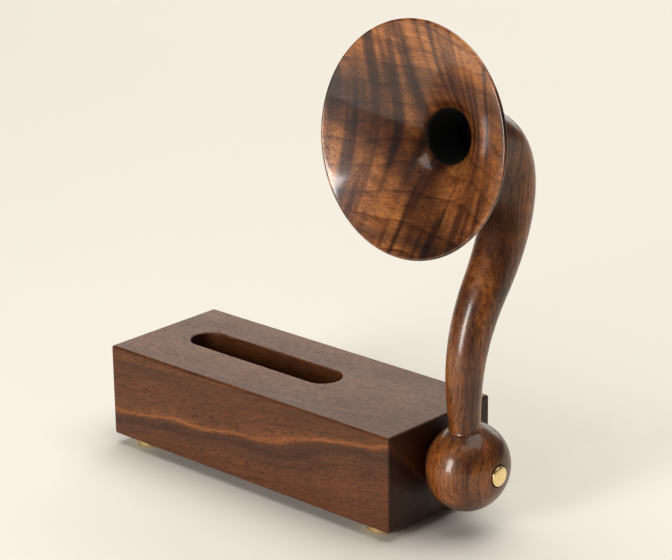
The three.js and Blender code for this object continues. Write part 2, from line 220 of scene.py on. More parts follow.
def use_group(tree, group, inputs):
    node = tree.nodes.new("ShaderNodeGroup")
    node.node_tree = group
    for socket, value in inputs.items():
        if isinstance(value, bpy.types.NodeSocket):
            tree.links.new(value, node.inputs[socket])
        else:
            node.inputs[socket].default_value = value
    return node.outputs


# %% [markdown]
# ## Walnut, as a solid
#
# Wood isn't a picture wrapped round a piece. Its figure is what a cut shows of a tree's rings, so
# this group works in the solid: the grain runs along X, and the distance from X is the distance
# from the tree's heart. A face along the grain then shows long wandering lines, and an end shows
# arcs, with no seams where two faces meet.
#
# It gives four plain values: how far from the heart a point lies, where it is within its ring, the
# fine fibres, and the open pores that walnut has as short dark dashes.

# %% Grain group
grain_group, grain_in, grain_out = new_group(
    "walnut_grain",
    [("Vector", "Vector"), ("Wander", "Float"), ("Ring", "Float")],
    [("Radius", "Float"), ("Ring", "Float"), ("Fibre", "Float"), ("Pores", "Float")],
)


def build_grain(tree, given, made):
    slow = noise(tree, scaled(tree, given["Vector"], (9, 24, 24)), detail=2.5)["Color"]
    centred = vector_node(tree, "SUBTRACT", slow, (0.5, 0.5, 0.5))
    push = add(tree, "ShaderNodeVectorMath", {
        0: centred, "Scale": given["Wander"]}, operation="SCALE").outputs[0]
    moved = vector_node(tree, "ADD", given["Vector"], push)

    radius = length_of(tree, scaled(tree, moved, (0, 1, 1)))
    rings = math_node(tree, "FRACT", math_node(tree, "DIVIDE", radius, given["Ring"]))

    streaks = noise(tree, scaled(tree, moved, (16, 420, 420)), detail=2.0)["Fac"]
    threads = noise(tree, scaled(tree, moved, (70, 1500, 1500)), detail=2.0)["Fac"]
    fibre = math_node(
        tree, "ADD", math_node(tree, "MULTIPLY", streaks, 0.5), math_node(tree, "MULTIPLY", threads, 0.5))
    dashes = noise(tree, scaled(tree, moved, (330, 2500, 2500)), detail=1.0)["Fac"]
    from_early = math_node(tree, "ABSOLUTE", math_node(tree, "SUBTRACT", rings, 0.3))
    crowding = math_node(tree, "MULTIPLY", from_early, 0.08)
    pores = smooth_between(tree, math_node(tree, "SUBTRACT", dashes, crowding), 0.56, 0.66)

    for socket, value in (("Radius", radius), ("Ring", rings), ("Fibre", fibre), ("Pores", pores)):
        tree.links.new(value, made[socket])


build_grain(grain_group, grain_in, grain_out)
print("walnut_grain:", len(grain_group.nodes), "nodes")

# %% [markdown]
# ## Ripple figure
#
# Where a tree's fibres wave up and down, a planed board shows bright and dark stripes across its
# grain. Makers call it fiddleback, and the bell is cut from such a piece. The stripes come from a
# noise that is squeezed along the grain and stretched across it, so no two are alike.

# %% Ripple group
ripple_group, ripple_in, ripple_out = new_group(
    "ripple_figure",
    [("Vector", "Vector"), ("Spacing", "Float")],
    [("Ripple", "Float")],
)


def build_ripple(tree, given, made):
    """Noise that changes quickly along the grain and slowly across it."""
    along_grain = math_node(tree, "DIVIDE", 1.0, given["Spacing"])
    stretch = add(tree, "ShaderNodeCombineXYZ", {0: along_grain, 1: 14.0, 2: 18.0}).outputs[0]
    stretched = scaled(tree, given["Vector"], stretch)
    stripes = smooth_between(tree, noise(tree, stretched, detail=1.5, roughness=0.4)["Fac"], 0.36, 0.64)
    patches = smooth_between(tree, noise(tree, scaled(tree, given["Vector"], (22, 30, 30)))["Fac"], 0.3, 0.55)
    centred = math_node(tree, "MULTIPLY", math_node(tree, "SUBTRACT", stripes, 0.5), patches)
    tree.links.new(math_node(tree, "ADD", centred, 0.5), made["Ripple"])


build_ripple(ripple_group, ripple_in, ripple_out)
print("ripple_figure:", len(ripple_group.nodes), "nodes")

# %% [markdown]
# ## Oiled finish
#
# Oil deepens the wood, and the rubbed surface shines between the pores and not in them. This group
# lays rings, fibres, pores and ripple over a base colour, and turns the same values into
# roughness and height, so that colour and relief always agree.

# %% Finish group
finish_group, finish_in, finish_out = new_group(
    "oiled_finish",
    [("Vector", "Vector"), ("Color", "Color"), ("Ring", "Float"), ("Fibre", "Float"), ("Pores", "Float"),
     ("Ripple", "Float"), ("End", "Float"), ("Ring Depth", "Float"), ("Fibre Depth", "Float"),
     ("Ripple Depth", "Float"), ("Pore Depth", "Float"), ("Base Roughness", "Float")],
    [("Color", "Color"), ("Roughness", "Float"), ("Height", "Float")],
)


def build_finish(tree, given, made):
    def swing(value, middle, depth):
        """1 where the value is at its middle, and more or less by the depth."""
        off = math_node(tree, "MULTIPLY", math_node(tree, "SUBTRACT", value, middle), depth)
        return math_node(tree, "ADD", off, 1.0)

    late = math_node(tree, "POWER", given["Ring"], 5.0)
    shade = math_node(tree, "SUBTRACT", swing(given["Fibre"], 0.5, given["Fibre Depth"]),
                      math_node(tree, "MULTIPLY", late, given["Ring Depth"]))
    shade = math_node(tree, "MULTIPLY", shade, swing(given["Ripple"], 0.5, given["Ripple Depth"]))
    thirsty = smooth_between(tree, given["End"], 0.6, 0.98)
    shade = math_node(tree, "MULTIPLY", shade, one_minus(tree, math_node(tree, "MULTIPLY", thirsty, 0.62)))
    shade = math_node(tree, "MAXIMUM", shade, 0.05)
    deeper = math_node(tree, "POWER", shade, 1.25)
    deepest = math_node(tree, "POWER", shade, 1.5)
    tones = add(tree, "ShaderNodeCombineXYZ", {0: shade, 1: deeper, 2: deepest}).outputs[0]
    body = tinted(tree, 1.0, given["Color"], tones, blend="MULTIPLY")
    filled = math_node(tree, "MULTIPLY", given["Pores"], given["Pore Depth"])
    tree.links.new(tinted(tree, filled, body, (0.012, 0.005, 0.002, 1)), made["Color"])

    handled = noise(tree, scaled(tree, given["Vector"], (35, 35, 35)))["Fac"]
    rough = math_node(tree, "ADD", given["Base Roughness"], math_node(tree, "MULTIPLY", handled, 0.1))
    rough = math_node(tree, "ADD", rough, math_node(tree, "MULTIPLY", given["Pores"], 0.2))
    tree.links.new(rough, made["Roughness"])

    relief = math_node(tree, "SUBTRACT", math_node(tree, "MULTIPLY", given["Fibre"], 0.5), filled)
    tree.links.new(relief, made["Height"])


build_finish(finish_group, finish_in, finish_out)
print("oiled_finish:", len(finish_group.nodes), "nodes")

# %% [markdown]
# ## Where the horn stands
#
# Everything above the block turns about the pivot, and at rest it leans back seven degrees. The
# horn's pieces are made upright round the pivot and leaned together, so their sizes stay the plain
# ones of the workshop drawing. The bell has an axis of its own, which points forwards and a little up.


# %% Horn frame
def along(direction, origin):
    """Turns Z into a direction and moves it to an origin."""
    return Matrix.Translation(origin) @ Vector(direction).to_track_quat("Z", "Y").to_matrix().to_4x4()


pivot = Vector(frame["joints"][0]["pos_m"])
horn_lean, bell_tilt = math.radians(7), math.radians(15.4)
on_horn = Matrix.Translation(pivot) @ Matrix.Rotation(horn_lean, 4, "X")
rim_centre = Vector((0, -18, 152.5)) * mm
bell_axis = Vector((0, -math.cos(bell_tilt), math.sin(bell_tilt)))
bell_frame = on_horn @ along(bell_axis, rim_centre)
print("pivot", [round(x, 4) for x in pivot], "rim centre", [round(x, 4) for x in bell_frame.translation])

# %% [markdown]
# ## What makes a piece of walnut
#
# Each board has a heart, which a Mapping node places and turns, and bands of colour round it, which
# one colour ramp holds. Two more helpers are for single pieces: a dark band that wavers through the
# wood, partly a streak of figure and partly painted shade, and painted shade in the way of the
# sound, whose walls are painted nearly black and lose their shine.


# %% Walnut helpers
def new_material(name):
    material = bpy.data.materials.new(name)
    material.use_nodes = True
    return material, material.node_tree, material.node_tree.nodes["Principled BSDF"]


def placed(tree, vector, turn, origin=(0, 0, 0)):
    """A place, or a direction, as it is seen from a turned and moved origin."""
    inputs = {"Vector": vector, "Location": origin, "Rotation": turn}
    return add(tree, "ShaderNodeMapping", inputs, vector_type="TEXTURE").outputs[0]


def band_ramp(tree, share, bands):
    ramp = add(tree, "ShaderNodeValToRGB", {"Fac": share})
    ramp.color_ramp.interpolation = "EASE"
    elements = ramp.color_ramp.elements
    for index, (at, color) in enumerate(bands):
        element = elements[index] if index < 2 else elements.new(at)
        element.position = at
        element.color = (*color, 1)
    return ramp.outputs["Color"]


def streaked_and_shaded(tree, color, spot, streaks):
    """Darkens a wavering plane of the wood for each (place, direction across it, half width, tone): partly a
    dark streak of figure, partly painted shade.
    """
    wave = noise(tree, scaled(tree, spot["Object"], (28, 28, 28)), detail=3.0)["Color"]
    wobble = vector_node(tree, "SUBTRACT", wave, (0.5, 0.5, 0.5))
    wobbled = add(tree, "ShaderNodeVectorMath", {0: wobble, 1: (0.03, 0.03, 0.03), 2: spot["Object"]},
                  operation="MULTIPLY_ADD").outputs[0]
    for place, direction, half_width, tone in streaks:
        off = dot(tree, vector_node(tree, "SUBTRACT", wobbled, place), Vector(direction).normalized())
        outside = smooth_between(tree, math_node(tree, "ABSOLUTE", off), half_width * 0.3, half_width)
        color = tinted(tree, one_minus(tree, outside), color, (*tone, 1), blend="MULTIPLY")
    return color


def painted_bore_shade(tree, spot, bore):
    """Painted shade in the sound way: 1 on its walls, 0 outside. The way runs along the bore's own Z."""
    centre, bore_turn, narrow, wide, end = bore
    in_bore = placed(tree, spot["Object"], bore_turn, centre)
    bore_normal = placed(tree, spot["Normal"], bore_turn)
    spoke = scaled(tree, in_bore, (1, 1, 0))
    away, outwards = length_of(tree, spoke), dot(tree, spoke, bore_normal)
    near = math_node(tree, "GREATER_THAN", part_of(tree, in_bore, "Z"), end)
    wall = math_node(tree, "MULTIPLY", math_node(tree, "LESS_THAN", outwards, 0.0), near)
    facing_out = math_node(tree, "GREATER_THAN", part_of(tree, bore_normal, "Z"), 0.3)
    faces_in = math_node(tree, "MAXIMUM", wall, facing_out)
    return math_node(tree, "MULTIPLY", one_minus(tree, smooth_between(tree, away, narrow, wide)), faces_in)


# %% [markdown]
# ## Three walnut materials
#
# The block, the horn and the bell are cut from different boards. Each material says where the
# heart of its own tree lies, which way its grain runs, and which colours lie at which distance from
# the heart.

# %% Walnut materials
# Near-black colour painted on the bore's walls as the shade deep in the bore.
bore_shade_black = (0.0015, 0.001, 0.0008)


def walnut(name, heart, grain_turn, bands, wander=0.03, ring=0.003, first=0.0, last=0.1, ripple=0.008,
           ring_depth=0.25, fibre_depth=1.6, ripple_depth=0.1, pore_depth=0.6, roughness=0.34,
           coat=(0.0, 0.2), bore=None, streaks=()):
    """bands are (distance from first to last as a share, colour) pairs."""
    material, tree, shader = new_material(name)
    spot = add(tree, "ShaderNodeTexCoord").outputs
    turn = [math.radians(x) for x in grain_turn]
    mapping = placed(tree, spot["Object"], turn, heart)
    end = math_node(tree, "ABSOLUTE", part_of(tree, placed(tree, spot["Normal"], turn), "X"))
    grain = use_group(tree, grain_group, {"Vector": mapping, "Wander": wander, "Ring": ring})
    share = add(tree, "ShaderNodeMapRange", {
        "Value": grain["Radius"], "From Min": first, "From Max": last}).outputs[0]
    waves = use_group(tree, ripple_group, {"Vector": mapping, "Spacing": ripple})
    finish = use_group(tree, finish_group, {
        "Vector": mapping, "Color": band_ramp(tree, share, bands), "Ring": grain["Ring"],
        "Fibre": grain["Fibre"], "Pores": grain["Pores"], "Ripple": waves["Ripple"], "End": end,
        "Ring Depth": ring_depth, "Fibre Depth": fibre_depth, "Ripple Depth": ripple_depth,
        "Pore Depth": pore_depth, "Base Roughness": roughness,
    })
    color, rough = streaked_and_shaded(tree, finish["Color"], spot, streaks), finish["Roughness"]
    coat_weight, coat_roughness = coat
    shader.inputs["Coat Weight"].default_value = coat_weight
    shader.inputs["Coat Roughness"].default_value = coat_roughness
    shader.inputs["IOR"].default_value = 1.5
    # Painted shade: the bore's walls get near-black colour, more roughness and no coat, as if no light
    # reached them.
    if bore:
        bore_shade_mask = painted_bore_shade(tree, spot, bore)
        color = tinted(tree, bore_shade_mask, color, (*bore_shade_black, 1))
        rough = math_node(tree, "ADD", rough, math_node(tree, "MULTIPLY", bore_shade_mask, 0.6))
        coat_outside_shade = math_node(tree, "MULTIPLY", one_minus(tree, bore_shade_mask), coat_weight)
        tree.links.new(coat_outside_shade, shader.inputs["Coat Weight"])
    bump = add(tree, "ShaderNodeBump", {"Height": finish["Height"], "Strength": 0.35, "Distance": 0.00012})
    tree.links.new(color, shader.inputs["Base Color"])
    tree.links.new(rough, shader.inputs["Roughness"])
    tree.links.new(bump.outputs[0], shader.inputs["Normal"])
    return material


brown = (0.115, 0.040, 0.012)
red_brown = (0.140, 0.046, 0.013)
warm_brown = (0.155, 0.055, 0.015)
honey = (0.240, 0.085, 0.022)
dusk_brown = (0.075, 0.025, 0.008)
tan_brown = (0.290, 0.102, 0.027)
amber = (0.330, 0.125, 0.032)
horn_brown = (0.255, 0.086, 0.018)
umber = (0.120, 0.040, 0.011)

block_low, block_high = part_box("base_block")
block_middle = (block_low + block_high) / 2
block_heart = Vector((block_low.x, block_low.y - 60 * mm, block_low.z - 80 * mm))
block_walnut = walnut(
    "block_walnut", block_heart, (0, -7.8, 0), first=0.098, last=0.178,
    bands=[(0.0, red_brown), (1.0, warm_brown), (0.07, brown), (0.1, dusk_brown), (0.13, brown),
           (0.15, tan_brown), (0.17, warm_brown), (0.2, red_brown), (0.35, brown), (0.375, warm_brown),
           (0.4, brown), (0.47, red_brown), (0.6, warm_brown), (0.75, brown), (0.85, warm_brown)])

# The sound way through the neck and the bell, whose walls get painted shade.
bell_bore = (bell_frame.translation, bell_frame.to_euler(), 11 * mm, 12.1 * mm, -46 * mm)
horn_low, horn_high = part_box("horn_ball")
horn_middle = (horn_low + horn_high) / 2
horn_walnut = walnut(
    "horn_walnut", horn_middle + Vector((-34, -48, 0)) * mm, (0, -90, 7), first=0.030, last=0.100,
    bands=[(0.0, amber), (1.0, umber), (0.2, horn_brown), (0.36, umber), (0.45, horn_brown), (0.6, umber),
           (0.8, horn_brown)],
    ring=0.004, ring_depth=0.35, fibre_depth=3.2, pore_depth=0.7, ripple_depth=0.3, roughness=0.34,
    coat=(0.55, 0.15), bore=bell_bore)

bell_low, bell_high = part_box("horn_bell")
bell_middle = (bell_low + bell_high) / 2
bell_walnut = walnut(
    "bell_walnut", bell_middle + Vector((0, 10, -160)) * mm, (0, 0, 0), first=0.110, last=0.210,
    bands=[(0.0, honey), (1.0, horn_brown), (0.09, honey), (0.12, umber), (0.17, honey), (0.3, honey),
           (0.45, horn_brown), (0.7, umber), (0.85, horn_brown)],
    ring=0.0085, ring_depth=0.5, ripple=0.0045, ripple_depth=1.3, fibre_depth=2.2, pore_depth=0.6,
    roughness=0.32, coat=(1.0, 0.11), bore=bell_bore,
    # A dark band on the bell's upper left wall: partly a streak in the figure, partly painted shade where the
    # wall is less lit.
    streaks=[(bell_frame.translation + Vector((-24, 0, -5)) * mm, (0.68, 0, 0.73), 14 * mm,
              (0.38, 0.32, 0.28))])
print("walnut:", [m.name for m in (block_walnut, horn_walnut, bell_walnut)])

# %% [markdown]
# ## Brass, steel, rubber and fibre
#
# Small turned pieces keep the fine circles that the lathe tool left. One group makes those circles
# round any axis, and brass and steel both use it. The pads are moulded rubber and the washer is
# pressed fibre, so both are matt and a little uneven.

# %% Turning marks group
turning_group, turning_in, turning_out = new_group(
    "turning_marks",
    [("Vector", "Vector"), ("Pitch", "Float")],
    [("Height", "Float"), ("Patina", "Float")],
)


def build_turning(tree, given, made):
    """The piece is turned about Z."""
    radius = length_of(tree, scaled(tree, given["Vector"], (1, 1, 0)))
    wobble = noise(tree, scaled(tree, given["Vector"], (900, 900, 900)))["Fac"]
    turns = math_node(tree, "ADD", math_node(tree, "DIVIDE", radius, given["Pitch"]),
                      math_node(tree, "MULTIPLY", wobble, 0.6))
    circles = math_node(tree, "SINE", math_node(tree, "MULTIPLY", turns, 2 * math.pi))
    tree.links.new(circles, made["Height"])
    patina = noise(tree, scaled(tree, given["Vector"], (260, 260, 260)), detail=4.0)["Fac"]
    tree.links.new(patina, made["Patina"])


build_turning(turning_group, turning_in, turning_out)


# %% Metal and pad materials
def turned_metal(name, centre, axis_turn, bright, dull, roughness):
    material, tree, shader = new_material(name)
    place = add(tree, "ShaderNodeTexCoord").outputs["Object"]
    mapping = placed(tree, place, [math.radians(x) for x in axis_turn], centre)
    marks = use_group(tree, turning_group, {"Vector": mapping, "Pitch": 0.00032})
    tree.links.new(tinted(tree, marks["Patina"], (*bright, 1), (*dull, 1)), shader.inputs["Base Color"])
    rough = {"Value": marks["Patina"], "To Min": roughness - 0.05, "To Max": roughness + 0.12}
    tree.links.new(add(tree, "ShaderNodeMapRange", rough).outputs[0], shader.inputs["Roughness"])
    bump = add(tree, "ShaderNodeBump", {"Height": marks["Height"], "Strength": 0.25, "Distance": 0.00002})
    tree.links.new(bump.outputs[0], shader.inputs["Normal"])
    shader.inputs["Metallic"].default_value = 1.0
    return material


def matt(name, light, dark, roughness, grain_size, depth):
    material, tree, shader = new_material(name)
    place = add(tree, "ShaderNodeTexCoord").outputs["Object"]
    speckle = noise(tree, scaled(tree, place, (1 / grain_size,) * 3), detail=4.0)["Fac"]
    tree.links.new(tinted(tree, speckle, (*dark, 1), (*light, 1)), shader.inputs["Base Color"])
    rough = {"Value": speckle, "To Min": roughness - 0.08, "To Max": roughness + 0.08}
    tree.links.new(add(tree, "ShaderNodeMapRange", rough).outputs[0], shader.inputs["Roughness"])
    bump = add(tree, "ShaderNodeBump", {"Height": speckle, "Strength": 0.4, "Distance": depth})
    tree.links.new(bump.outputs[0], shader.inputs["Normal"])
    return material


brass_light = (0.97, 0.80, 0.47)
brass_dark = (0.90, 0.69, 0.35)
steel_light, steel_dark = (0.62, 0.61, 0.59), (0.45, 0.44, 0.43)
bolt_brass = turned_metal("bolt_brass", pivot, (0, 90, 0), brass_light, brass_dark, 0.24)
washer_steel = turned_metal("washer_steel", pivot, (0, 90, 0), steel_light, steel_dark, 0.3)
pad_rubber = matt("pad_rubber", (0.035, 0.033, 0.031), (0.018, 0.017, 0.016), 0.8, 0.0006, 0.00005)
washer_fibre = matt("washer_fibre", (0.075, 0.042, 0.024), (0.040, 0.022, 0.013), 0.75, 0.0009, 0.00006)
print("metals and pads made")

# %% [markdown]
# ## Helpers for making pieces
#
# Most pieces here are turned, so most start as a profile that is spun round an axis. The rest are
# slabs with rounded outlines. Both helpers use mesh operators, and both hand over a bmesh, which
# is then bored or trimmed and put in its place.


# %% Mesh helpers
def spun(profile, steps=64, closed=False):
    """A solid turned about Z. The profile's points are (radius, height), from one end to the other."""
    bm = bmesh.new()
    points = [bm.verts.new((radius, 0, height)) for radius, height in profile]
    following = points[1:] + (points[:1] if closed else [])
    edges = [bm.edges.new(pair) for pair in zip(points, following)]
    bmesh.ops.spin(bm, geom=points + edges, cent=(0, 0, 0), axis=(0, 0, 1), angle=2 * math.pi,
                   steps=steps, use_merge=True)
    bmesh.ops.remove_doubles(bm, verts=bm.verts, dist=1e-7)
    bmesh.ops.recalc_face_normals(bm, faces=bm.faces)
    return bm


def outline(bm, length, width, corner, height, segments=48):
    """A rounded rectangle at a height: a circle whose quarters are moved apart."""
    made = bmesh.ops.create_circle(
        bm, segments=segments, radius=corner, matrix=Matrix.Rotation(math.pi / segments, 4, "Z"))["verts"]
    for vert in made:
        vert.co.x += math.copysign(length / 2 - corner, vert.co.x)
        vert.co.y += math.copysign(width / 2 - corner, vert.co.y)
        vert.co.z = height
    return made


def loop_edges(verts):
    inside = set(verts)
    return [e for v in verts for e in v.link_edges if e.other_vert(v) in inside]


def stacked(loops_of):
    """A solid through loops, one above the other."""
    bm = bmesh.new()
    loops = [make(bm) for make in loops_of]
    for lower, upper in zip(loops, loops[1:]):
        bmesh.ops.bridge_loops(bm, edges=list(set(loop_edges(lower) + loop_edges(upper))))
    bmesh.ops.contextual_create(bm, geom=loops[0])
    bmesh.ops.contextual_create(bm, geom=loops[-1])
    bmesh.ops.recalc_face_normals(bm, faces=bm.faces)
    return bm


def slab(length, width, corner, low, high, segments=48):
    return stacked([lambda bm, z=z: outline(bm, length, width, corner, z, segments) for z in (low, high)])


def rod(radius, low, high, steps=48):
    return spun([(0, low), (radius, low), (radius, high), (0, high)], steps)


def as_object(name, bm, place=Matrix.Identity(4)):
    """An object at the origin whose place is in its mesh."""
    bmesh.ops.transform(bm, matrix=place, verts=bm.verts)
    mesh = bpy.data.meshes.new(name)
    bm.to_mesh(mesh)
    bm.free()
    made = bpy.data.objects.new(name, mesh)
    scene.collection.objects.link(made)
    return made


def cut(piece, cutters):
    """Takes the cutters' solids out of a piece, and then the cutters away."""
    for cutter in cutters:
        modifier = piece.modifiers.new("cut", "BOOLEAN")
        modifier.operation = "DIFFERENCE"
        modifier.solver = "EXACT"
        modifier.object = cutter
    bpy.context.view_layer.update()
    shown = piece.evaluated_get(bpy.context.evaluated_depsgraph_get())
    mesh = bpy.data.meshes.new_from_object(shown)
    piece.modifiers.clear()
    piece.data = mesh
    for cutter in cutters:
        bpy.data.objects.remove(cutter)
    return piece


def finished(piece, material, body, nodes, sharp=35, ease=0.0, ease_steps=3):
    """Smooths a piece, eases its sharp edges, paints it, and hangs it on its body."""
    mesh = piece.data
    mesh.materials.clear()
    mesh.materials.append(material)
    bm = bmesh.new()
    bm.from_mesh(mesh)
    bmesh.ops.remove_doubles(bm, verts=bm.verts, dist=1e-7)
    for face in bm.faces:
        face.smooth = True
        face.material_index = 0
    for edge in bm.edges:
        edge.smooth = edge.calc_face_angle(0) < math.radians(sharp)
    bm.to_mesh(mesh)
    bm.free()
    if ease:
        modifier = piece.modifiers.new("eased", "BEVEL")
        modifier.width = ease
        modifier.segments = ease_steps
        modifier.limit_method = "ANGLE"
        modifier.angle_limit = math.radians(sharp)
        modifier.harden_normals = True
    weighted = piece.modifiers.new("even_shading", "WEIGHTED_NORMAL")
    weighted.keep_sharp = True
    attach(piece, body)
    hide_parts(*nodes)
    print(piece.name, "has", len(mesh.polygons), "faces")
    return piece


# %% [markdown]
# ## The base block
#
# The real block is planed from one board. A slot with round ends is routed in the top, a port goes
# through the slot's floor, and the sound chamber is milled from below, with a rebate for its lid.
# A duct is bored from the end into the chamber. Here the same tools do the same work: a box with
# eased edges, then one cutter for each cut. The slot's cutter widens at its top, which leaves the
# rounded lip that a router bit would.

# %% Base block
block_size = block_high - block_low
edge_rounding = 1.2 * mm
slot_length, slot_width, slot_depth = 88 * mm, 17 * mm, 23 * mm
slot_from_left, slot_from_front, slot_lip = 19.7 * mm, 26.3 * mm, 0.7 * mm
port_length, port_width, slot_floor = 62 * mm, 7 * mm, 4 * mm
chamber_from_end, chamber_side, chamber_roof, chamber_corner = 28 * mm, 12 * mm, 10 * mm, 6 * mm
slot_end_wall = 8 * mm
panel_thickness, panel_ledge = 4 * mm, 5.5 * mm
duct_radius = 6.05 * mm
past = 1 * mm

slot_x = block_low.x + slot_from_left + slot_length / 2
slot_y = block_low.y + slot_from_front + slot_width / 2
slot_bottom = block_high.z - slot_depth
chamber_length = block_size.x - 2 * chamber_from_end
chamber_width = block_size.y - 2 * chamber_side
tall_left = slot_x + slot_length / 2 + slot_end_wall
chamber_right = block_high.x - chamber_from_end
rebate_length, rebate_width = chamber_length + 2 * panel_ledge, chamber_width + 2 * panel_ledge


def slot_cutter():
    """Stadium outlines that grow towards the top in a quarter round."""
    lip_steps = 5
    levels = [(slot_bottom, 0)]
    for step in range(lip_steps + 1):
        angle = math.radians(90 * step / lip_steps)
        levels.append((block_high.z - slot_lip * (1 - math.sin(angle)), slot_lip * (1 - math.cos(angle))))
    levels.append((block_high.z + past, slot_lip))
    return stacked([
        lambda bm, z=z, grow=grow: outline(
            bm, slot_length + 2 * grow, slot_width + 2 * grow, slot_width / 2 + grow, z, 96)
        for z, grow in levels
    ])


def chamber_cutters():
    at_slot = Matrix.Translation((slot_x, slot_y, 0))
    at_middle = Matrix.Translation((block_middle.x, block_middle.y, 0))
    tall_middle = Matrix.Translation(((tall_left + chamber_right) / 2, block_middle.y, 0))
    under_slot = slot_bottom - slot_floor
    under_roof = block_high.z - chamber_roof
    lid_seat = block_low.z + panel_thickness
    duct = along((1, 0, 0), (chamber_right, pivot.y, pivot.z))
    tall_length = chamber_right - tall_left
    cutters = {
        "port": (slab(port_length, port_width, port_width / 2, lid_seat, slot_bottom + past), at_slot),
        "rebate": (slab(
            rebate_length, rebate_width, chamber_corner, block_low.z - past, lid_seat), at_middle),
        "chamber": (slab(chamber_length, chamber_width, chamber_corner, block_low.z, under_slot), at_middle),
        "tall_end": (slab(tall_length, chamber_width, chamber_corner, block_low.z, under_roof), tall_middle),
        "duct": (rod(duct_radius, -past, chamber_from_end + past), duct),
    }
    return [as_object(name, solid, place) for name, (solid, place) in cutters.items()]


def planed_box():
    bm = bmesh.new()
    size = Matrix.Diagonal((*block_size, 1))
    bmesh.ops.create_cube(bm, size=1, matrix=Matrix.Translation(block_middle) @ size)
    bmesh.ops.bevel(
        bm, geom=bm.edges, offset=edge_rounding, segments=5, profile=0.5, affect="EDGES", material=-1)
    return bm


block = as_object("walnut_block", planed_box())
slot_place = Matrix.Translation((slot_x, slot_y, 0))
cut(block, [as_object("slot", slot_cutter(), slot_place), *chamber_cutters()])

# %% [markdown]
# ## Holes for the screws
#
# Each screw has a pilot hole, drilled from below where the frame has a screw, so that no piece
# stands in another.


# %% Screw holes
def screw_holes(names, radius, deeper):
    made = []
    for name in names:
        low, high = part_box(name)
        middle = (low + high) / 2
        hole = rod(radius, block_low.z - past, high.z + deeper, 24)
        made.append(as_object("hole", hole, Matrix.Translation((middle.x, middle.y, 0))))
    return made


panel_screws = [f"panel_screw_{n}" for n in range(1, 7)]
foot_screws = [f"foot_screw_{n}" for n in range(1, 5)]
cut(block, screw_holes(panel_screws, 1.5 * mm, 1 * mm) + screw_holes(foot_screws, 1.7 * mm, 1 * mm))
finished(block, block_walnut, "base", ["base_block"])

# %% [markdown]
# ## The lid of the chamber
#
# A thin walnut panel lies in the rebate, held by six brass screws. Their cone-shaped seats are cut
# with the same profile as a screw's head, a hair larger.

# %% Bottom panel
panel_low, panel_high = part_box("bottom_panel")
panel_screw_radius, panel_screw_head = 1.4 * mm, 2.7 * mm
foot_screw_radius, foot_screw_head = 1.6 * mm, 3.2 * mm
head_edge, screw_fit = 0.2 * mm, 0.1 * mm


def countersink(radius, head, depth):
    wide, narrow = head + screw_fit, radius + screw_fit
    cone_end = head_edge + screw_fit + wide - narrow
    return spun([(0, -past), (wide, -past), (wide, head_edge + screw_fit), (narrow, cone_end),
                 (narrow, depth), (0, depth)], 48)


def at_screw(name):
    low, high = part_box(name)
    return Matrix.Translation(((low.x + high.x) / 2, (low.y + high.y) / 2, low.z))


panel_size = panel_high - panel_low
panel = as_object(
    "chamber_lid", slab(panel_size.x, panel_size.y, chamber_corner, panel_low.z, panel_high.z),
    Matrix.Translation(((panel_low.x + panel_high.x) / 2, (panel_low.y + panel_high.y) / 2, 0)))
cut(panel, [
    as_object("seat", countersink(panel_screw_radius, panel_screw_head, panel_thickness + past), place)
    for place in map(at_screw, panel_screws)
])
finished(panel, block_walnut, "base", ["bottom_panel"], ease=0.3 * mm)

# %% [markdown]
# ## Screws with cross recesses
#
# A screw is turned first, and its recess is punched after. The recess is two narrow bars that
# taper inwards, and the thread is left off where the wood hides it.


# %% Screws
def screw(name, node, radius, head, material):
    low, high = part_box(node)
    length = high.z - low.z
    cone = head - radius
    body = spun([(0, 0), (head, 0), (head, head_edge), (radius, head_edge + cone), (radius, length - radius),
                 (0, length)], 40)
    made = as_object(name, body, at_screw(node))
    bars = []
    for turn in (0, 90):
        bm = bmesh.new()
        bmesh.ops.create_cone(
            bm, cap_ends=True, segments=4, radius1=head, radius2=head * 0.35, depth=2 * head * 0.62,
            matrix=Matrix.Rotation(math.radians(45), 4, "Z"))
        bmesh.ops.scale(bm, vec=(1, 0.24, 1), verts=bm.verts)
        bars.append(as_object("bar", bm, at_screw(node) @ Matrix.Rotation(math.radians(turn + 20), 4, "Z")))
    cut(made, bars)
    return finished(made, material, "base", [node], sharp=30)


def metal_at(node, name, bright, dull):
    low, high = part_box(node)
    return turned_metal(name, (low + high) / 2, (0, 0, 0), bright, dull, 0.24)


for number, node in enumerate(panel_screws, 1):
    look = metal_at(node, f"screw_brass_{number}", brass_light, brass_dark)
    screw(f"brass_screw_{number}", node, panel_screw_radius, panel_screw_head, look)
for number, node in enumerate(foot_screws, 1):
    look = metal_at(node, f"screw_steel_{number}", steel_light, steel_dark)
    screw(f"steel_screw_{number}", node, foot_screw_radius, foot_screw_head, look)

# %% [markdown]
# ## Feet
#
# Each foot is a brass disc turned from bar, hollowed below for a rubber pad and for the screw that
# holds it. A pad stands proud of its disc, so only rubber touches the table.

# %% Feet and pads
foot_radius, pad_radius, pad_recess = 7 * mm, 5.2 * mm, 1.2 * mm


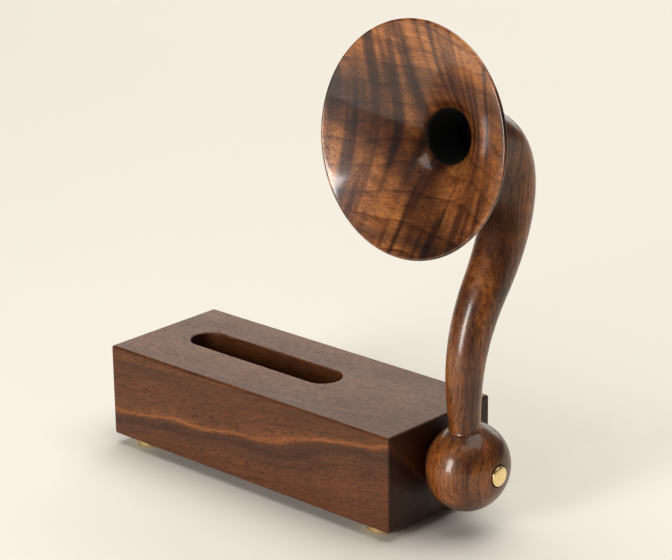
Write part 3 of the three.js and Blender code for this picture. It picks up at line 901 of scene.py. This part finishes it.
def foot(number):
    node = f"foot_{number}"
    low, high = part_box(node)
    height = high.z - low.z
    hole, seat = foot_screw_radius + screw_fit, foot_screw_head + screw_fit
    cone_end = pad_recess + head_edge + screw_fit + seat - hole
    profile = [
        (pad_radius + screw_fit, 0), (foot_radius, 0), (foot_radius, height), (hole, height),
        (hole, cone_end), (seat, pad_recess + head_edge + screw_fit), (seat, pad_recess),
        (pad_radius + screw_fit, pad_recess),
    ]
    made = as_object(f"brass_foot_{number}", spun(profile, 72, closed=True), at_screw(node))
    look = metal_at(node, f"foot_brass_{number}", brass_light, brass_dark)
    finished(made, look, "base", [node], ease=0.45 * mm, ease_steps=4)

    pad_node = f"foot_pad_{number}"
    pad_low, pad_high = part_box(pad_node)
    pad_height = pad_high.z - pad_low.z
    pad = as_object(f"rubber_pad_{number}", rod(pad_radius, 0, pad_height, 64), at_screw(pad_node))
    finished(pad, pad_rubber, "base", [pad_node], ease=0.25 * mm)


for number in range(1, 5):
    foot(number)

# %% [markdown]
# ## The pivot
#
# A brass sleeve carries the ball and lets the sound through. Three arms at its inner end hold a
# hub, and the long bolt screws into it. A spring washer under the bolt's head and a fibre washer
# against the block give the steady friction that holds the horn at any tilt.

# %% Sleeve, bolt and washers
sleeve_radius, sleeve_bore = 6 * mm, 5 * mm
hub_radius, arm_width, spider_thickness = 3.4 * mm, 1.6 * mm, 3 * mm
bolt_radius, bolt_head_radius, bolt_head_edge = 2 * mm, 4.45 * mm, 2.4 * mm
running_gap = 0.2 * mm
on_pivot = along((1, 0, 0), (0, pivot.y, pivot.z))


def tube(inner, outer, low, high, steps=64):
    return spun([(inner, low), (outer, low), (outer, high), (inner, high)], steps, closed=True)


sleeve_low, sleeve_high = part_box("pivot_sleeve")
sleeve = as_object("brass_sleeve", tube(sleeve_bore, sleeve_radius, sleeve_low.x, sleeve_high.x), on_pivot)
spider = spun([(bolt_radius + 0.05 * mm, sleeve_low.x), (hub_radius, sleeve_low.x),
               (hub_radius, sleeve_low.x + spider_thickness),
               (bolt_radius + 0.05 * mm, sleeve_low.x + spider_thickness)], 48, closed=True)
reach = (hub_radius + sleeve_bore) / 2
for arm in range(3):
    turned_arm = Matrix.Rotation(math.radians(120 * arm), 4, "Z")
    middle = Matrix.Translation((reach, 0, sleeve_low.x + spider_thickness / 2))
    arm_size = Matrix.Diagonal((sleeve_bore - hub_radius + 0.4 * mm, arm_width, spider_thickness * 0.98, 1))
    bmesh.ops.create_cube(spider, size=1, matrix=turned_arm @ middle @ arm_size)
spider = as_object("spider", spider, on_pivot)
join = sleeve.modifiers.new("join", "BOOLEAN")
join.operation, join.solver, join.use_self, join.object = "UNION", "EXACT", True, spider
cut(sleeve, [])
bpy.data.objects.remove(spider)
finished(sleeve, bolt_brass, "base", ["pivot_sleeve"], ease=0.15 * mm, ease_steps=2)

bolt_low, bolt_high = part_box("pivot_bolt")
crown = 0.9 * mm
top = bolt_high.x - crown
dome_angles = [math.radians(a) for a in range(0, 90, 9)]
dome = [(bolt_head_radius * math.cos(a), top + crown * math.sin(a)) for a in dome_angles]
bolt_profile = [
    (0, bolt_low.x), (bolt_radius * 0.8, bolt_low.x), (bolt_radius, bolt_low.x + 0.4 * mm),
    (bolt_radius, top - bolt_head_edge), (bolt_head_radius, top - bolt_head_edge), *dome, (0, bolt_high.x),
]
bolt = as_object("brass_bolt", spun(bolt_profile, 96), on_pivot)
finished(bolt, bolt_brass, "base", ["pivot_bolt"])

fibre_low, fibre_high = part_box("friction_washer")
fibre_radius = (fibre_high.z - fibre_low.z) / 2
fibre_ring = tube(sleeve_radius + running_gap, fibre_radius, fibre_low.x, fibre_high.x)
fibre = as_object("fibre_washer", fibre_ring, on_pivot)
finished(fibre, washer_fibre, "base", ["friction_washer"], ease=0.1 * mm, ease_steps=2)

spring_low, spring_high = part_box("spring_washer")
spring_stock = 0.5 * mm
inner, outer = bolt_radius + running_gap, bolt_head_radius - running_gap
spring = as_object("cone_washer", spun([
    (inner, spring_high.x - spring_stock), (outer, spring_low.x), (outer, spring_low.x + spring_stock),
    (inner, spring_high.x)], 64, closed=True), on_pivot)
finished(spring, washer_steel, "base", ["spring_washer"], ease=0.05 * mm, ease_steps=2)

# %% [markdown]
# ## The ball
#
# The ball is a little narrower along the pivot than across it. It is turned on the pivot's axis,
# with the bearing bore, the bolt's hole and the counterbore for the bolt's head in one profile.
# A flat and a socket for the neck's tenon are cut afterwards, on the horn's own upright.

# %% Ball
ball_radius, ball_half_width = 19.2 * mm, 17 * mm
ball_cavity = 6 * mm
seat_station = fibre_high.x + 0.1 * mm - pivot.x
head_pocket = spring_low.x - 0.1 * mm - pivot.x
counterbore = bolt_head_radius + 2 * running_gap
neck_root_radius, neck_wall = 6.5 * mm, 2.5 * mm
tenon_radius, tenon_length, glue_gap = 5 * mm, 9 * mm, 0.1 * mm
seat_radius = neck_root_radius + 0.4 * mm
neck_seat = ball_radius * math.sqrt(1 - (seat_radius / ball_half_width) ** 2)


def ball_profile():
    """Out of the bolt's hole, over the counterbore's lip, round the ball and back along the sleeve's bore."""
    first = math.asin((counterbore + 0.25 * mm) / ball_radius)
    last = math.acos(seat_station / ball_half_width)
    steps = 48
    arc = [first + (last - first) * step / steps for step in range(steps + 1)]
    skin = [(ball_radius * math.sin(angle), ball_half_width * math.cos(angle)) for angle in arc]
    lip = skin[0][1] - 0.15 * mm
    bearing = sleeve_radius + running_gap
    return [
        (bolt_radius + running_gap, ball_cavity), (bolt_radius + running_gap, head_pocket),
        (counterbore, head_pocket), (counterbore, lip), *skin,
        (bearing, seat_station), (bearing, ball_cavity),
    ]


ball = as_object("walnut_ball", spun(ball_profile(), 96, closed=True), on_horn @ along((1, 0, 0), (0, 0, 0)))
socket_floor = neck_seat - tenon_length - glue_gap
cut(ball, [
    as_object("flat", rod(ball_radius, neck_seat, ball_radius + past, 96), on_horn),
    as_object("socket", rod(tenon_radius + glue_gap, socket_floor, ball_radius, 48), on_horn),
    as_object("sound_way", rod(neck_root_radius - neck_wall, 0, ball_radius, 48), on_horn),
])
fillet_radius = 2 * mm
root = neck_root_radius + 0.04 * mm


def fillet_profile():
    """A ring with a hollow outside that runs from the neck down to the ball."""
    top = neck_seat + 1.4 * mm
    angles = [math.radians(a) for a in range(0, 66, 5)]
    hollow = [(root + fillet_radius * (1 - math.cos(a)), top - fillet_radius * math.sin(a)) for a in angles]
    foot_point = hollow[-1]
    return [(root, neck_seat - 1.5 * mm), *hollow, (foot_point[0] + 0.8 * mm, foot_point[1] - 0.7 * mm),
            (foot_point[0], neck_seat - 1.5 * mm - 0.8 * mm), (root + 0.3 * mm, neck_seat - 2.3 * mm)]


fillet = as_object("fillet", spun(fillet_profile(), 96, closed=True), on_horn)
join = ball.modifiers.new("join", "BOOLEAN")
join.operation, join.solver, join.object = "UNION", "EXACT", fillet
cut(ball, [])
bpy.data.objects.remove(fillet)
finished(ball, horn_walnut, "horn", ["horn_ball"], sharp=30)

# %% [markdown]
# ## The neck
#
# The neck is an S-shaped tube that thickens towards the bell. It is carved in two halves, because
# no drill follows a bent bore, and glued along the plane of the bend. Here each half is a skin
# through sections that stand along two smooth curves. A section is half a ring, out along the
# neck's outside and back along its bore, so the bore is shaped together with the outside.

# %% Neck
bend = Vector((0, 20.2, 75.4)) * mm
bend_lean = math.radians(41.5)
root_pull, bend_pull_below, bend_pull_above, throat_pull = 23 * mm, 23.2 * mm, 35 * mm, 34.5 * mm
neck_throat_radius = 11.4 * mm
bell_depth = 35.4 * mm
throat = rim_centre - bell_axis * bell_depth
bell_spigot = 5 * mm
spigot_radius = neck_throat_radius - neck_wall / 2
half_steps, glue_line = 32, 0.01 * mm


def neck_line():
    """Points along the neck's middle, closely spaced, with the distance of each from the ball."""
    up = Vector((0, 0, 1))
    slope = Vector((0, math.sin(bend_lean), math.cos(bend_lean)))
    root = Vector((0, 0, neck_seat + glue_gap))
    lower = geometry.interpolate_bezier(root, root + up * root_pull, bend - slope * bend_pull_below, bend, 60)
    upper = geometry.interpolate_bezier(
        bend, bend + slope * bend_pull_above, throat - bell_axis * throat_pull, throat, 60)
    points = lower + upper[1:]
    ways = [0.0]
    for first, second in zip(points, points[1:]):
        ways.append(ways[-1] + (second - first).length)
    return points, ways


line_points, line_ways = neck_line()
neck_length = line_ways[-1]


def on_line(way):
    """The ring plane at a distance along the neck, carried straight on past both of its ends."""
    inside = min(max(way, 0.0), neck_length)
    index = min(max(sum(1 for w in line_ways if w <= inside) - 1, 0), len(line_ways) - 2)
    start, end = line_points[index], line_points[index + 1]
    centre = start.lerp(end, (inside - line_ways[index]) / (line_ways[index + 1] - line_ways[index]))
    before, after = line_points[max(index - 1, 0)], line_points[min(index + 2, len(line_points) - 1)]
    tangent = (after - before).normalized()
    if way < 0:
        tangent = Vector((0, 0, 1))
    if way > neck_length:
        tangent = bell_axis
    centre = centre + tangent * (way - inside)
    across = Vector((1, 0, 0))
    turned = Matrix((across, tangent.cross(across), tangent)).transposed().to_4x4()
    return Matrix.Translation(centre) @ turned


def neck_radius(way):
    left = 1 - min(max(way / neck_length, 0), 1)
    return neck_throat_radius - (neck_throat_radius - neck_root_radius) * left ** 2


def neck_stations():
    """(distance along the neck, outer radius, inner radius): tenon, tapering tube, and the bell's socket."""
    steps = 72
    shelf = neck_length - bell_spigot - glue_gap
    socket = spigot_radius + glue_gap
    ways = [neck_length * step / steps for step in range(steps + 1)]
    below, above = [way for way in ways if way < shelf], [way for way in ways if way > shelf]
    root_bore = neck_root_radius - neck_wall
    return [
        (-tenon_length, tenon_radius, root_bore), (0, tenon_radius, root_bore),
        *[(way, neck_radius(way), neck_radius(way) - neck_wall) for way in [*below, shelf]],
        *[(way, neck_radius(way), socket) for way in [shelf, *above]],
    ]


def half_section(bm, way, outer, inner, side):
    """One half of the tube's section: out along the big arc, and back along the small one."""
    place = on_line(way)
    arc = [math.radians(-90 + 180 * step / half_steps) for step in range(half_steps + 1)]
    made = []
    for radius, angle in [(outer, angle) for angle in arc] + [(inner, angle) for angle in reversed(arc)]:
        from_seam = max(radius * math.cos(angle), glue_line)
        made.append(bm.verts.new(place @ Vector((side * from_seam, radius * math.sin(angle), 0))))
    return made


def neck_half(name, node, side):
    bm = bmesh.new()
    sections = [half_section(bm, *station, side) for station in neck_stations()]
    for lower, upper in zip(sections, sections[1:]):
        for here, there in zip(range(len(lower)), [*range(1, len(lower)), 0]):
            bm.faces.new((lower[here], lower[there], upper[there], upper[here]))
    for end in (sections[0], sections[-1]):
        bm.faces.new(end)
    bmesh.ops.remove_doubles(bm, verts=bm.verts, dist=1e-7)
    bmesh.ops.dissolve_degenerate(bm, edges=bm.edges, dist=1e-7)
    bmesh.ops.recalc_face_normals(bm, faces=bm.faces)
    return finished(as_object(name, bm, on_horn), horn_walnut, "horn", [node], sharp=50)


neck_half("neck_half_right", "neck_right", 1)
neck_half("neck_half_left", "neck_left", -1)

# %% [markdown]
# ## The bell
#
# The bell is turned on a lathe: a spigot that fits the neck, a wall that thins towards the rim, and
# a rounded rim. Its inside is one Bezier curve, and the outside is that curve set off by the wall.

# %% Bell
bell_radius, rim_radius = 47.2 * mm, 0.9 * mm
bell_wall = 2.4 * mm
lip_angle = math.radians(26)
lip_pull = 29 * mm
flare_depth, flare_radius = 25.5 * mm, 10.9 * mm
flare_angle, flare_pull = math.radians(5), 3.5 * mm


def bell_profile():
    """Out along the back of the flare, round the rim and down its inside, as (radius, height)."""
    bore_radius = neck_throat_radius - neck_wall
    lip = Vector((math.cos(lip_angle), math.sin(lip_angle), 0))
    edge = Vector((bell_radius - rim_radius * (1 + lip.y), 0, 0))
    start = Vector((flare_radius, -flare_depth, 0))
    opening = Vector((math.sin(flare_angle), math.cos(flare_angle), 0))
    inside = geometry.interpolate_bezier(start, start + opening * flare_pull, edge - lip * lip_pull, edge, 56)
    back = [(bore_radius, -bell_depth - bell_spigot), (spigot_radius, -bell_depth - bell_spigot),
            (spigot_radius, -bell_depth + glue_gap), (neck_throat_radius, -bell_depth + glue_gap)]
    for step in range(3, len(inside)):
        before, after = inside[step - 1], inside[min(step + 1, len(inside) - 1)]
        tangent = (after - before).normalized()
        share = step / (len(inside) - 1)
        wall = bell_wall + (2 * rim_radius - bell_wall) * share ** 2
        outside_point = inside[step] + Vector((tangent.y, -tangent.x, 0)) * wall
        if outside_point.x > neck_throat_radius:
            back.append((outside_point.x, outside_point.y))
    middle = (Vector((*back[-1], 0)) + edge) / 2
    spoke = Vector((*back[-1], 0)) - middle
    rim_steps = 10
    turns = [math.pi * step / rim_steps for step in range(1, rim_steps)]
    rim = [middle + Matrix.Rotation(turn, 3, "Z") @ spoke for turn in turns]
    front = [(p.x, p.y) for p in reversed(inside)]
    return back + [(p.x, p.y) for p in rim] + front


bell = as_object("walnut_bell", spun(bell_profile(), 160, closed=True), bell_frame)
finished(bell, bell_walnut, "horn", ["horn_bell"])

# %% [markdown]
# ## The table
#
# A plain pale sheet, wide enough that its edge never shows. It is part of the stage and not of the
# object.

# %% Floor
floor_material, floor_tree, floor_shader = new_material("pale_sheet")
floor_place = add(floor_tree, "ShaderNodeTexCoord").outputs["Object"]
cloudy = noise(floor_tree, scaled(floor_tree, floor_place, (3, 3, 3)))["Fac"]
sheet_color = tinted(floor_tree, cloudy, (0.86, 0.835, 0.785, 1), (0.88, 0.855, 0.805, 1))
floor_tree.links.new(sheet_color, floor_shader.inputs["Base Color"])
floor_shader.inputs["Roughness"].default_value = 0.9
floor_shader.inputs["Specular IOR Level"].default_value = 0.2
floor_mesh = bmesh.new()
bmesh.ops.create_circle(floor_mesh, cap_ends=True, segments=96, radius=2.6)
floor = as_object("floor", floor_mesh, Matrix.Translation((-1.2, 1.3, 0)))
floor.data.materials.append(floor_material)
floor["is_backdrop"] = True

# %% [markdown]
# ## Sizes
#
# The last step prints how far the finished model's box reaches past the frame's box, so that a
# piece that has grown past its size is noticed.

# %% Sizes
model_low, model_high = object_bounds()
corners = zip((*model_low, *model_high), (*frame_low, *frame_high))
grown = [round(1000 * (abs(a) - abs(b)), 2) for a, b in corners]
print("millimetres past the frame's box:", grown)
